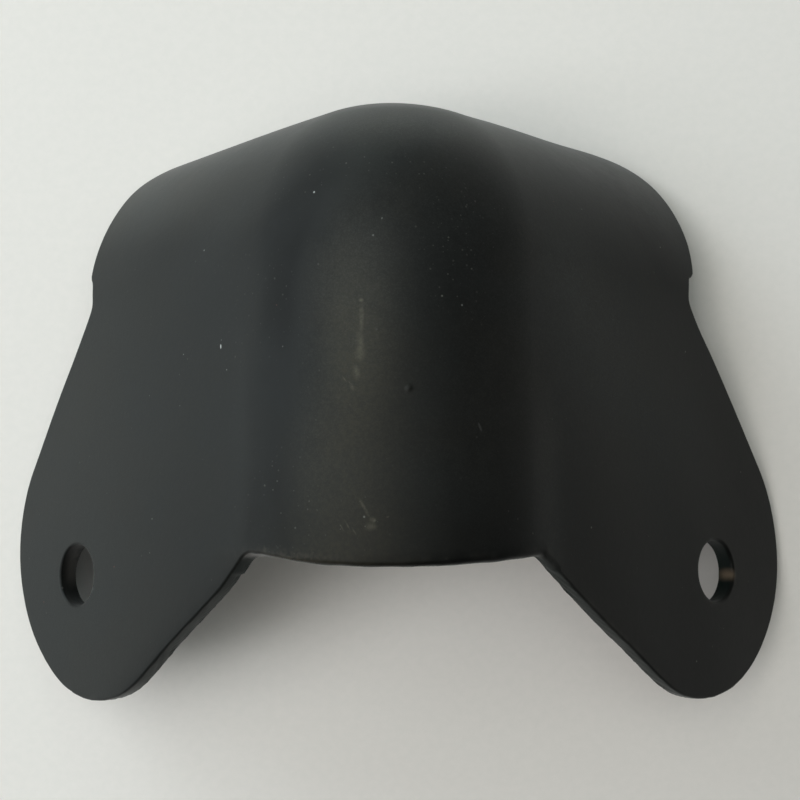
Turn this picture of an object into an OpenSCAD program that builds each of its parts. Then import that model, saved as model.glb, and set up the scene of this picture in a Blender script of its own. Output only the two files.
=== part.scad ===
// Corner protector for the corner of a box or cabinet: one blank of sheet steel,
// drawn into three faces that meet in rounded bends and a ball-shaped corner.
// Two faces are wings with a lobed leg and a screw hole each, the third is a short lip.
// It lies at rest as it would on a table: hollow side down, on the ends of its two
// legs and on the rim of the lip. +Y points along the ridge to the lip, +Z is up.

/* [Sheet] */
// Thickness of the sheet
t = 1.25; // [0.9:0.05:1.8]
// Outer radius of the three bends and of the ball-shaped corner
bend_r = 14; // [11:0.5:14.5]

/* [Ridge and lip] */
// Length of the ridge at its middle, from the outer face of the lip
ridge_len = 36.5; // [35.5:0.1:38]
// How much farther the ridge reaches at its middle than at its two sides
ridge_bulge = 0.87; // [0.5:0.05:1.2]
// Depth of the lip, square to the ridge, from where the outer faces would meet
lip_depth = 29.1; // [27.5:0.1:30.5]
// Rounding of the two ends of the lip's rim
lip_end_r = 8; // [4:0.5:9]

/* [Left wing] */
// Distance of the outer rim from the corner edge
rim_l = 35.55; // [35.2:0.05:36.5]
// Depth of the small step in the outer rim
step_l = 0.35; // [0.2:0.05:0.6]
// Middle of the leg's lobe, across the wing
lobe_u_l = 33.85; // [33:0.05:35]
// Middle of the leg's lobe, along the wing
lobe_w_l = 34.4; // [33:0.05:36]
// Radius of the leg's lobe
lobe_r_l = 12; // [11:0.05:12.5]

/* [Right wing] */
// Distance of the outer rim from the corner edge
rim_r = 34.55; // [34.2:0.05:36.5]
// Depth of the small step in the outer rim
step_r = 0.65; // [0.2:0.05:0.9]
// Middle of the leg's lobe, across the wing
lobe_u_r = 34.1; // [33:0.05:35]
// Middle of the leg's lobe, along the wing
lobe_w_r = 35; // [33:0.05:36]
// Radius of the leg's lobe
lobe_r_r = 11.8; // [11:0.05:12.5]

/* [Screw holes] */
// Radius of the screw holes
hole_r = 2.5; // [1.5:0.05:3.5]
// Distance of each screw hole from the ridge's corner line, across the wing
hole_u = 36.45; // [34:0.05:38]
// Distance of each screw hole from the lip's outer face, along the wing
hole_w = 36.75; // [34:0.05:38]

/* [Hidden] */
$fn = 96;
// where the step in the rim starts, measured from the outer face of the lip
step_w = bend_r - 1.3;
// where the leg leaves the rim, and where it leaves the ridge's lower end
root_w = bend_r + 0.9;
crotch_u = bend_r + 1;
ridge_side = ridge_len - ridge_bulge;
// radius of the arc of the ridge's lower end, from its half width and its bulge
half_w = bend_r / sqrt(2);
end_arc_r = (half_w * half_w + ridge_bulge * ridge_bulge) / (2 * ridge_bulge);
// the lip's rim is the line x + y = lip_sum
lip_sum = lip_depth * sqrt(2);

// tilt at which it comes to rest: the lobes' inner edges and the rim of the lip touch
lobe_u = (lobe_u_l + lobe_u_r) / 2;
lobe_w = (lobe_w_l + lobe_w_r) / 2;
lobe_r = (lobe_r_l + lobe_r_r) / 2;
fall = lip_depth - (lobe_u + t) / sqrt(2);
qa = lobe_w * lobe_w - lobe_r * lobe_r;
qc = fall * fall - lobe_r * lobe_r / 2;
tilt = atan((sqrt(lobe_w * lobe_w * fall * fall - qa * qc) - lobe_w * fall) / qa);
// height over the table of the line where the wings' outer faces would meet, at the lip
rest_z = lip_depth * cos(tilt);
// shift along the ridge that puts the middle of the box on the origin: the box runs from
// the ball-shaped corner to the lobes' ends
far_y = bend_r * (cos(tilt) + sqrt(2) * sin(tilt) - 1);
near_r = lobe_w_r * cos(tilt) + (lobe_u_r + t) * sin(tilt) / sqrt(2)
    + lobe_r_r * sqrt(pow(cos(tilt), 2) + pow(sin(tilt), 2) / 2);
near_l = lobe_w_l * cos(tilt) + (lobe_u_l + t) * sin(tilt) / sqrt(2)
    + lobe_r_l * sqrt(pow(cos(tilt), 2) + pow(sin(tilt), 2) / 2);
rest_y = (max(near_l, near_r) + far_y) / 2;

// unit direction at angle a
function dir(a) = [cos(a), sin(a)];
// point where the line from p touches a circle (centre c, radius r), side -1 or 1
function touch(p, c, r, side) =
    let (d = norm(c - p), b = atan2(c[1] - p[1], c[0] - p[0]) + side * asin(r / d))
    p + sqrt(d * d - r * r) * dir(b);

// outline of one wing beyond the bends, u from the ridge, w from the lip
module wing_outline(rim, step, c, r) {
    root = [rim - step, root_w];
    crotch = [crotch_u, ridge_side];
    inner = touch(crotch, c, r, 1);
    start = bend_r + 0.5;
    difference() {
        union() {
            polygon([[start, bend_r], [rim - step, bend_r], root, touch(root, c, r, -1),
                     c, inner, crotch + (inner - crotch) * (start - crotch_u) / (inner[0] - crotch_u)]);
            translate(c) circle(r);
        }
        translate([hole_u, hole_w]) circle(hole_r);
    }
}

// quarter of a pipe wall, its axis along Z, its outer faces towards -X and -Y
module quarter_pipe(len) {
    linear_extrude(len)
        intersection() {
            difference() {
                circle(bend_r);
                circle(bend_r - t);
            }
            translate([-bend_r, -bend_r]) square(bend_r);
        }
}

// ball-shaped corner between the three bends
module ball_corner() {
    translate([bend_r, bend_r, bend_r])
        rotate([180, 0, -90])
            rotate_extrude(angle = 90)
                intersection() {
                    difference() {
                        circle(bend_r);
                        circle(bend_r - t);
                    }
                    square(bend_r);
                }
}

// eighth of a round disc, between angle 0 and 45 degrees
module eighth(r) {
    intersection() {
        circle(r);
        polygon([[0, 0], [2 * r, 0], [2 * r, 2 * r]]);
    }
}

// what the outer rims and the rim of the lip leave of the top, seen along the wings
module top_outline() {
    k = lip_end_r * tan(22.5);
    yl = lip_sum - rim_l - k;
    xr = lip_sum - rim_r - k;
    union() {
        polygon([[0, 0], [rim_l, 0], [rim_l, yl],
                 [rim_l - k / sqrt(2), yl + k + k / sqrt(2)],
                 [xr + k + k / sqrt(2), rim_r - k / sqrt(2)],
                 [xr, rim_r], [0, rim_r]]);
        translate([rim_l - lip_end_r, yl]) eighth(lip_end_r);
        translate([xr, rim_r - lip_end_r]) rotate(45) eighth(lip_end_r);
    }
}

// lip, its two bends and the ball-shaped corner
module top() {
    intersection() {
        union() {
            ball_corner();
            // bend of the left wing and bend of the right wing into the lip
            translate([bend_r, bend_r, bend_r]) rotate([90, 0, 90]) quarter_pipe(rim_l - bend_r);
            translate([bend_r, rim_r, bend_r]) rotate([90, 0, 0]) quarter_pipe(rim_r - bend_r);
            translate([bend_r, bend_r, 0]) cube([rim_l - bend_r, rim_r - bend_r, t]);
        }
        difference() {
            translate([0, 0, -1]) linear_extrude(bend_r + 1) top_outline();
            // upper part of the step in each rim
            translate([rim_l - step_l, -1, step_w]) cube([5, bend_r + 2, bend_r]);
            translate([-1, rim_r - step_r, step_w]) cube([bend_r + 2, 5, bend_r]);
        }
    }
}

// ridge between the wings with the strips beside it, its lower end cut to an arc
module ridge() {
    long = ridge_len + 1 - bend_r;
    intersection() {
        translate([0, 0, bend_r]) union() {
            translate([bend_r, bend_r, 0]) quarter_pipe(long);
            translate([bend_r, 0, 0]) cube([4, t, long]);
            translate([0, bend_r, 0]) cube([t, 4, long]);
        }
        translate([0, 0, ridge_len - end_arc_r])
            rotate([0, 90, 45]) translate([0, 0, -1]) cylinder(r = end_arc_r, h = bend_r + 4, $fn = 720);
    }
}

// the part as pressed, its three sharp corner planes at x = 0, y = 0 and z = 0
module pressing() {
    union() {
        top();
        ridge();
        translate([0, t, 0]) rotate([90, 0, 0])
            linear_extrude(t) wing_outline(rim_l, step_l, [lobe_u_l, lobe_w_l], lobe_r_l);
        rotate([90, 0, 90])
            linear_extrude(t) wing_outline(rim_r, step_r, [lobe_u_r, lobe_w_r], lobe_r_r);
    }
}

module corner_protector() {
    color([0.13, 0.14, 0.14])
        translate([0, rest_y, rest_z])
            rotate([-tilt, 0, 0]) rotate([90, 0, 0]) rotate([0, 0, 225]) pressing();
}

corner_protector();
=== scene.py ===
import math

import bpy
import numpy as np
from mathutils import Matrix, Vector
from mathutils.geometry import delaunay_2d_cdt


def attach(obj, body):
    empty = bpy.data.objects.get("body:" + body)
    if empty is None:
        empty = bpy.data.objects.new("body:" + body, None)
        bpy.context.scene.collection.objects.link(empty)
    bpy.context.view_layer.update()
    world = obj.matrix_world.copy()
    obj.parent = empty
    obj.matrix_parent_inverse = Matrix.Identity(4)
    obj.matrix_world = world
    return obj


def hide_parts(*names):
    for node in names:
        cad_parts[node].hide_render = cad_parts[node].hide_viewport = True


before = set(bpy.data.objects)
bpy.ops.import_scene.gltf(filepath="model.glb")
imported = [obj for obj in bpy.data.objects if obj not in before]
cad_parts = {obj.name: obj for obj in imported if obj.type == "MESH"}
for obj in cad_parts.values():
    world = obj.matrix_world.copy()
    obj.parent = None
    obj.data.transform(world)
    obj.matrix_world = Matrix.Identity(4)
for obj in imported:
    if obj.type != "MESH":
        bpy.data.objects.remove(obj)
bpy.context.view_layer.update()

# ----------------------------------------------------------------------------
# Sizes of the pressing, in millimetres, the same as the model's own.
# Local frame: the three sharp corner planes are x = 0, y = 0 and z = 0. The left
# wing lies in y = 0, the right wing in x = 0, the lip in z = 0.
# ----------------------------------------------------------------------------
T = 1.25
R = 14.0
RIDGE_LEN, RIDGE_BULGE = 36.5, 0.87
LIP_DEPTH, LIP_END_R = 29.1, 8.0
LEFT = dict(rim=35.55, step=0.35, c=(33.85, 34.4), r=12.0)
RIGHT = dict(rim=34.55, step=0.65, c=(34.1, 35.0), r=11.8)
HOLE_R, HOLE_U, HOLE_W = 2.5, 36.45, 36.75
STEP_W, ROOT_W, CROTCH_U = R - 1.3, R + 0.9, R + 1.0
RIDGE_SIDE = RIDGE_LEN - RIDGE_BULGE
HALF_W = R / math.sqrt(2)
END_R = (HALF_W ** 2 + RIDGE_BULGE ** 2) / (2 * RIDGE_BULGE)
LIP_SUM = LIP_DEPTH * math.sqrt(2)
S = math.sqrt(0.5)

# how it lies: the same tilt, height and shift as the model's
lobe_u = (LEFT["c"][0] + RIGHT["c"][0]) / 2
lobe_w = (LEFT["c"][1] + RIGHT["c"][1]) / 2
lobe_r = (LEFT["r"] + RIGHT["r"]) / 2
fall = LIP_DEPTH - (lobe_u + T) / math.sqrt(2)
qa = lobe_w ** 2 - lobe_r ** 2
qc = fall ** 2 - lobe_r ** 2 / 2
TILT = math.atan((math.sqrt(lobe_w ** 2 * fall ** 2 - qa * qc) - lobe_w * fall) / qa)
CT, ST = math.cos(TILT), math.sin(TILT)
FAR_Y = R * (CT + math.sqrt(2) * ST - 1)
NEAR = [w["c"][1] * CT + (w["c"][0] + T) * ST / math.sqrt(2)
        + w["r"] * math.sqrt(CT ** 2 + ST ** 2 / 2) for w in (LEFT, RIGHT)]
REST = np.array([0.0, (max(NEAR) + FAR_Y) / 2, LIP_DEPTH * CT])
# local frame -> level frame (+y along the ridge to the lip) -> the frame it lies in
LEVEL = np.array([[-S, S, 0.0], [0.0, 0.0, -1.0], [-S, -S, 0.0]])
TIP = np.array([[1.0, 0.0, 0.0], [0.0, CT, ST], [0.0, -ST, CT]])
TURN = TIP @ LEVEL


def to_world(p):
    """Local millimetres to the part's frame in metres."""
    return (np.asarray(p) @ TURN.T + REST) / 1000.0


def to_local(p):
    """The part's frame in metres to local millimetres."""
    return (np.asarray(p) * 1000.0 - REST) @ TURN


# ----------------------------------------------------------------------------
# Camera: nearly straight above, looking down on the ridge.
# ----------------------------------------------------------------------------
def euler(x, y, z):
    cx, sx, cy, sy, cz, sz = (f(a) for a in (x, y, z) for f in (math.cos, math.sin))
    rx = np.array([[1, 0, 0], [0, cx, -sx], [0, sx, cx]])
    ry = np.array([[cy, 0, sy], [0, 1, 0], [-sy, 0, cy]])
    rz = np.array([[cz, -sz, 0], [sz, cz, 0], [0, 0, 1]])
    return rz @ ry @ rx


VIEW = euler(-0.130, -0.004, 0.007)
VIEW_T = np.array([-0.585, 25.801, -92.410])
FOCAL = 1400.0
CAM_ROT = TIP @ VIEW.T
CAM_LOC = (TIP @ (-VIEW.T @ VIEW_T) + REST) / 1000.0

cam_data = bpy.data.cameras.new("camera")
cam_data.sensor_fit = "HORIZONTAL"
cam_data.sensor_width = 36.0
cam_data.lens = FOCAL / 800.0 * 36.0
cam_data.clip_start = 0.005
cam_data.clip_end = 20.0
camera = bpy.data.objects.new("camera", cam_data)
m = Matrix(CAM_ROT.tolist()).to_4x4()
m.translation = Vector(CAM_LOC.tolist())
camera.matrix_world = m
bpy.context.scene.collection.objects.link(camera)
bpy.context.scene.camera = camera


# ----------------------------------------------------------------------------
# The rounded corner surface: everything at distance `rad` from the core octant
# x, y, z >= R, so one formula covers the faces, the bends and the ball.
# ----------------------------------------------------------------------------
E3 = -np.ones(3) / math.sqrt(3)
E1 = np.array([-S, S, 0.0])
E2 = np.cross(E3, E1)


def flat(p):
    """Position along the corner's diagonal axis, dropped."""
    return np.stack([p @ E1, p @ E2], axis=-1)


def foot(p):
    c = np.maximum(p, R)
    v = p - c
    n = np.linalg.norm(v, axis=-1, keepdims=True)
    return c, v / np.maximum(n, 1e-12)


def onto(p, rad):
    c, d = foot(p)
    return c + rad * d


def lift(q, rad):
    """Points of the plane across the corner's axis, raised to the surface."""
    base = q[:, :1] * E1 + q[:, 1:] * E2
    lo = np.full(len(q), -200.0)
    hi = np.full(len(q), 200.0)
    for _ in range(52):
        mid = (lo + hi) / 2
        p = base + mid[:, None] * E3
        far = np.linalg.norm(np.maximum(R - p, 0), axis=1) > rad
        hi = np.where(far, mid, hi)
        lo = np.where(far, lo, mid)
    return onto(base + ((lo + hi) / 2)[:, None] * E3, rad)


# ----------------------------------------------------------------------------
# Outline of the blank on the outer surface, walked once round, with the offset
# that the cut wall adds where it isn't square to the sheet.
# ----------------------------------------------------------------------------
def touch(p, c, r, side):
    p, c = np.array(p, float), np.array(c, float)
    v = c - p
    d = np.hypot(*v)
    b = math.atan2(v[1], v[0]) + side * math.asin(r / d)
    return p + math.sqrt(d * d - r * r) * np.array([math.cos(b), math.sin(b)])


def seg(a, b, n=None):
    a, b = np.array(a, float), np.array(b, float)
    n = n or max(2, int(np.linalg.norm(b - a) / 0.05))
    k = np.linspace(0, 1, n, endpoint=False)[:, None]
    return a + (b - a) * k


def ridge_end(x):
    return RIDGE_LEN - END_R + np.sqrt(END_R ** 2 - x ** 2)


def half_outline(w):
    """From the crotch to the middle of the lip's rim, as (u, v, w): u across the
    wing, v off the wing's plane, w along the wing, and the wall's offset."""
    rim, step, c, r = w["rim"], w["step"], np.array(w["c"]), w["r"]
    root, crotch = np.array([rim - step, ROOT_W]), np.array([CROTCH_U, RIDGE_SIDE])
    t_in, t_out = touch(crotch, c, r, 1), touch(root, c, r, -1)
    slope = (t_in - crotch) / (t_in[0] - crotch[0])
    lo, hi = R, R + 3.0
    for _ in range(60):
        mid = (lo + hi) / 2
        if ridge_end(S * mid) > (crotch + slope * (mid - crotch[0]))[1]:
            lo = mid
        else:
            hi = mid
    u0 = (lo + hi) / 2
    start = crotch + slope * (u0 - crotch[0])
    pts, off = [], []

    def add(uvw, o=None):
        pts.append(uvw)
        off.append(np.zeros_like(uvw) if o is None else o)

    # strip beside the ridge, its end still on the arc
    u = np.linspace(R, u0, 12, endpoint=False)
    z = ridge_end(S * u)
    o = np.zeros((len(u), 3))
    o[:, 2] = ridge_end(S * (u - T)) - z
    add(np.stack([u, 0 * u, z], 1), o)
    # leg: diagonal, lobe, outer side
    q = seg(start, t_in)
    add(np.stack([q[:, 0], 0 * q[:, 0], q[:, 1]], 1))
    a0 = math.atan2(*(t_in - c)[::-1])
    a1 = math.atan2(*(t_out - c)[::-1])
    while a0 < a1:
        a0 += 2 * math.pi
    a = np.linspace(a0, a1, int(r * abs(a1 - a0) / 0.05), endpoint=False)
    add(np.stack([c[0] + r * np.cos(a), 0 * a, c[1] + r * np.sin(a)], 1))
    for p, q2 in ((t_out, root), (root, (rim - step, R))):
        q = seg(p, q2)
        add(np.stack([q[:, 0], 0 * q[:, 0], q[:, 1]], 1))

    def bend(uu, vv):
        """Point of the bend into the lip over the plan point."""
        b = np.arccos(np.clip((R - vv) / R, -1, 1))
        return np.stack([uu, vv, R - R * np.sin(b)], 1), b

    def plan_u(vv):
        """Plan outline of this half, from the rim to the diagonal."""
        k = LIP_END_R * math.tan(math.radians(22.5))
        y0 = LIP_SUM - rim - k
        y1 = y0 + k + k / math.sqrt(2)
        arc = rim - LIP_END_R + np.sqrt(np.maximum(LIP_END_R ** 2 - (vv - y0) ** 2, 0))
        return np.where(vv < y0, rim, np.where(vv < y1, arc, LIP_SUM - vv))

    b0 = math.asin((R - STEP_W) / R)
    b = np.linspace(0, b0, 26, endpoint=False)
    add(bend(0 * b + rim - step, R - R * np.cos(b))[0])
    v0 = R - R * math.cos(b0)
    q = np.linspace(rim - step, rim, 8, endpoint=False)
    add(bend(q, 0 * q + v0)[0])
    b = np.linspace(b0, math.pi / 2, 520, endpoint=False)
    vv = R - R * np.cos(b)
    p, _ = bend(plan_u(vv), vv)
    inner_v = vv + T * np.cos(b)
    o = np.zeros_like(p)
    o[:, 0] = plan_u(inner_v) - plan_u(vv)
    add(p, o)
    # straight rim of the lip, to its middle
    q = seg((LIP_SUM - R, R), (LIP_SUM / 2, LIP_SUM / 2))
    add(np.stack([q[:, 0], q[:, 1], 0 * q[:, 0]], 1))
    return np.concatenate(pts), np.concatenate(off)


def outline():
    pl, ol = half_outline(LEFT)
    pr, orr = half_outline(RIGHT)
    left = pl                                   # (u, v, w) is (x, y, z)
    right = pr[:, [1, 0, 2]][::-1]
    o_left, o_right = ol, orr[:, [1, 0, 2]][::-1]
    # the ridge's lower end, from the right wing to the left one
    th = np.linspace(math.pi / 2, 0, 480, endpoint=False)[1:]
    x = S * R * (np.sin(th) - np.cos(th))
    xi = x * (R - T) / R
    ridge = np.stack([R - R * np.sin(th), R - R * np.cos(th), ridge_end(x)], 1)
    o_ridge = np.zeros_like(ridge)
    o_ridge[:, 2] = ridge_end(xi) - ridge[:, 2]
    return (np.concatenate([ridge, left, right]), np.concatenate([o_ridge, o_left, o_right]))


def arclen(p):
    d = np.linalg.norm(np.roll(p, -1, 0) - p, axis=1)
    return np.concatenate([[0], np.cumsum(d)])


def resample(p, extra, n):
    s = arclen(p)
    t = np.linspace(0, s[-1], n, endpoint=False)
    both = np.concatenate([p, extra], 1)
    both = np.concatenate([both, both[:1]])
    out = np.stack([np.interp(t, s, both[:, k]) for k in range(both.shape[1])], 1)
    return out[:, :3], out[:, 3:], s[-1]


def smooth_loop(a, sigma):
    """Gaussian smoothing of a closed loop, sigma in samples."""
    k = int(sigma * 4) + 1
    g = np.exp(-np.arange(-k, k + 1) ** 2 / (2 * sigma ** 2))
    g /= g.sum()
    pad = np.concatenate([a[-k:], a, a[:k]])
    return np.stack([np.convolve(pad[:, j], g, "valid") for j in range(a.shape[1])], 1)


def loop_frame(p, d):
    """Tangent and the direction into the sheet, for a loop walked either way."""
    t = np.roll(p, -1, 0) - np.roll(p, 1, 0)
    t -= (t * d).sum(1, keepdims=True) * d
    t /= np.linalg.norm(t, axis=1, keepdims=True)
    return t, np.cross(d, t)


def area2(q):
    x, y = q[:, 0], q[:, 1]
    return 0.5 * float(np.sum(x * np.roll(y, -1) - np.roll(x, -1) * y))


class Waves:
    """Smooth noise that repeats once round a loop."""

    def __init__(self, seed, length, shortest, longest, rms):
        rng = np.random.default_rng(seed)
        k0, k1 = max(1, int(length / longest)), int(length / shortest)
        self.k = np.arange(k0, k1 + 1)
        self.a = rng.normal(size=len(self.k)) / np.sqrt(self.k)
        self.b = rng.normal(size=len(self.k)) / np.sqrt(self.k)
        self.a, self.b = (v * rms / math.sqrt(0.5 * float(np.sum(self.a ** 2 + self.b ** 2)))
                          for v in (self.a, self.b))
        self.length = length

    def __call__(self, s):
        w = 2 * math.pi * np.outer(s, self.k) / self.length
        return np.cos(w) @ self.a + np.sin(w) @ self.b


def soft(x, a, b):
    k = np.clip((x - a) / (b - a), 0, 1)
    return k * k * (3 - 2 * k)


# ----------------------------------------------------------------------------
# Small shape of the faces: a flattened spot at the top of the ball, slow waves of
# the pressed sheet, one pimple in the paint.
# ----------------------------------------------------------------------------
rng = np.random.default_rng(11)
WAVE_K = rng.normal(size=(14, 3))
WAVE_K *= (2 * math.pi / rng.uniform(9.0, 26.0, (14, 1))) / np.linalg.norm(WAVE_K, axis=1, keepdims=True)
WAVE_P = rng.uniform(0, 2 * math.pi, 14)
WAVE_A = rng.uniform(0.4, 1.0, 14)
WAVE_A *= 0.016 / math.sqrt(0.5 * float(np.sum(WAVE_A ** 2)))
PIMPLE = np.array([3.41, 4.84, 24.44])
# slow swellings of the two wings and of the edge between ball and right bend: middle,
# height and spread
SWELL = [
    ((31.0, 0.0, 27.0), 0.40, 10.0),
    ((0.0, 31.0, 27.0), -0.06, 10.0),
    ((8.0, 14.5, 1.35), -0.11, 2.4),
    ((7.6, 31.5, 1.5), 0.13, 2.5),
]


def shape(p):
    """The pressing's own departures from the plain form: a flattened spot at the top of
    the ball, and slow swellings."""
    _, d = foot(p)
    off = (p[:, 1] - p[:, 0]) * S
    h = -0.27 * np.exp(-(off - 1.0) ** 2 / (2 * 4.2 ** 2)) * soft(-d[:, 2], 0.80, 0.97)
    for middle, height, spread in SWELL:
        h += height * np.exp(-np.sum((p - np.array(middle)) ** 2, 1) / (2 * spread ** 2))
    return h


def shape_in(p):
    return shape(onto(p, R))


def relief(p):
    """Height of the outer surface over the plain form, mm, at local points."""
    h = shape(p) + np.sin(p @ WAVE_K.T + WAVE_P) @ WAVE_A
    g = np.linalg.norm(p - PIMPLE, axis=1)
    h += 0.105 * np.exp(-(g / 0.20) ** 2)
    return h


def displaced(p, field, rad, depth=1.0):
    """Points moved along their normal by the field, and the new normals."""
    base = onto(p, rad)
    _, d = foot(base)
    e = 0.02
    h = field(base)
    grad = np.stack([(field(base + e * a) - field(base - e * a)) / (2 * e) for a in np.eye(3)], 1)
    grad -= (grad * d).sum(1, keepdims=True) * d
    n = d - depth * grad
    n /= np.linalg.norm(n, axis=1, keepdims=True)
    return base + depth * h[:, None] * d, n


# ----------------------------------------------------------------------------
# Mesh
# ----------------------------------------------------------------------------
STEP = 0.30          # spacing along the cut edges
GRID = 0.40          # spacing of the faces' grid, across the corner's axis

p0, o0 = outline()
length = arclen(p0)[-1]
n_fine = int(length / 0.05)
p0, o0, length = resample(p0, o0, n_fine)
both = smooth_loop(np.concatenate([p0, o0], 1), 0.30 / 0.05)
p0, o0 = onto(both[:, :3], R), both[:, 3:]
if area2(flat(p0)) < 0:
    p0, o0 = p0[::-1], o0[::-1]
n_edge = int(length / STEP)
p0, o0, length = resample(p0, o0, n_edge)
EDGE_OUT = onto(p0, R)
_, edge_n = foot(EDGE_OUT)
EDGE_IN = onto(EDGE_OUT - T * edge_n + o0, R - T)

# how far the real blank's rim stands out from the drawn outline: x, y, millimetres
RIM = np.array([
    (-21.0, 17.4, 0.0), (-22.6, 16.2, -0.24), (-24.5, 13.7, -0.07), (-25.0, 10.4, 0.17),
    (-25.4, 7.0, -0.17), (-26.8, 3.9, -0.19), (-28.3, 0.5, -0.10), (-30.2, -3.8, -0.13),
    (-31.7, -7.5, -0.06), (-32.4, -12.0, -0.06), (-31.8, -16.4, -0.17), (-29.6, -20.8, -0.13),
    (-27.6, -22.3, 0.07), (-25.4, -23.0, 0.20), (-23.3, -22.9, 0.16), (-21.3, -22.1, 0.24),
    (-19.7, -20.9, 0.06), (-17.6, -18.7, 0.0), (-15.6, -16.3, 0.11), (-13.7, -14.2, 0.24),
    (-12.6, -12.9, 0.27), (-11.4, -11.6, 0.05), (-10.9, -10.9, -0.18), (-10.1, -10.8, -0.20),
    (-8.6, -10.8, -0.24), (-7.2, -10.8, -0.01), (0.0, -10.8, 0.0), (6.0, -10.8, 0.02),
    (7.2, -10.8, 0.15), (8.6, -10.8, 0.07), (10.2, -11.0, 0.13),
    (11.8, -12.0, 0.14), (13.8, -14.4, 0.11), (15.8, -16.7, -0.02), (17.9, -19.1, -0.32),
    (20.2, -21.6, -0.43), (21.7, -22.7, -0.17), (24.2, -23.4, -0.02), (26.9, -23.1, 0.07),
    (29.2, -21.7, 0.18), (31.0, -19.2, 0.20), (32.2, -15.0, 0.21), (32.3, -10.5, 0.04),
    (30.5, -5.0, 0.06), (28.3, -0.6, 0.11), (26.6, 3.6, 0.05), (24.8, 6.6, -0.16),
    (24.0, 9.5, 0.18), (23.9, 13.2, 0.44), (23.0, 16.2, 0.29), (21.0, 18.6, 0.10),
    (19.0, 19.5, 0.0)])
_, rim_g = loop_frame(EDGE_OUT, edge_n)
plan = to_world(EDGE_OUT)[:, :2] * 1000.0
walked = arclen(EDGE_OUT)
at = np.array([np.argmin(((plan - r[:2]) ** 2).sum(1) + 100.0 * (EDGE_OUT[:, 2] < 1.0)) for r in RIM])
order = np.argsort(walked[at])
stand = np.interp(walked[:-1], walked[at][order], RIM[order, 2], period=walked[-1])
stand = smooth_loop(stand[:, None], 0.8 / STEP)[:, 0]
EDGE_OUT = onto(EDGE_OUT - stand[:, None] * rim_g, R)
EDGE_IN = onto(EDGE_IN - stand[:, None] * rim_g, R - T)
# the ridge's lower end: its inner edge stands out on the left, its outer edge is rolled
# over on the right
plan = to_world(EDGE_OUT) * 1000.0
ridge_run = soft(plan[:, 2], 20.0, 21.5) * soft(-plan[:, 1], 7.5, 8.5) * (np.abs(plan[:, 0]) < 11.6)
EDGE_IN[:, 2] += 0.24 * ridge_run * soft(-plan[:, 0], 7.4, 10.5)
ROLL = 0.20 + 0.26 * ridge_run * soft(plan[:, 0], -8.5, -4.5)


def hole_loop(flip, shift, n=96):
    a = np.linspace(0, 2 * math.pi, n, endpoint=False)
    u, w = HOLE_U + shift + (HOLE_R - 0.05) * np.cos(a), HOLE_W + (HOLE_R - 0.05) * np.sin(a)
    z = np.zeros(n)
    out = np.stack([u, z, w] if not flip else [z, u, w], 1)
    inn = np.stack([u, z + T, w] if not flip else [z + T, u, w], 1)
    if area2(flat(out)) > 0:                    # holes run the other way round
        out, inn = out[::-1], inn[::-1]
    return out, inn


LOOPS = [dict(out=EDGE_OUT, inn=EDGE_IN, r1=ROLL[:, None], r2=0.26, rough=1.0, name="rim"),
         dict(zip(("out", "inn"), hole_loop(False, 0.0)), r1=0.22, r2=0.45, burr=0.50, rough=0.35, name="hole_left"),
         dict(zip(("out", "inn"), hole_loop(True, 0.09)), r1=0.30, r2=0.30, burr=0.32, rough=0.35, name="hole_right")]

N_ROUND, N_WALL = 5, 6
verts, normals, quads, tris, cut, wall_v = [], [], [], [], [], []
outer_rings, inner_rings = [], []
count = 0
wall_first = None


def bezier(a, b, c, k):
    return (1 - k) ** 2 * a + 2 * k * (1 - k) * b + k * k * c


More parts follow.
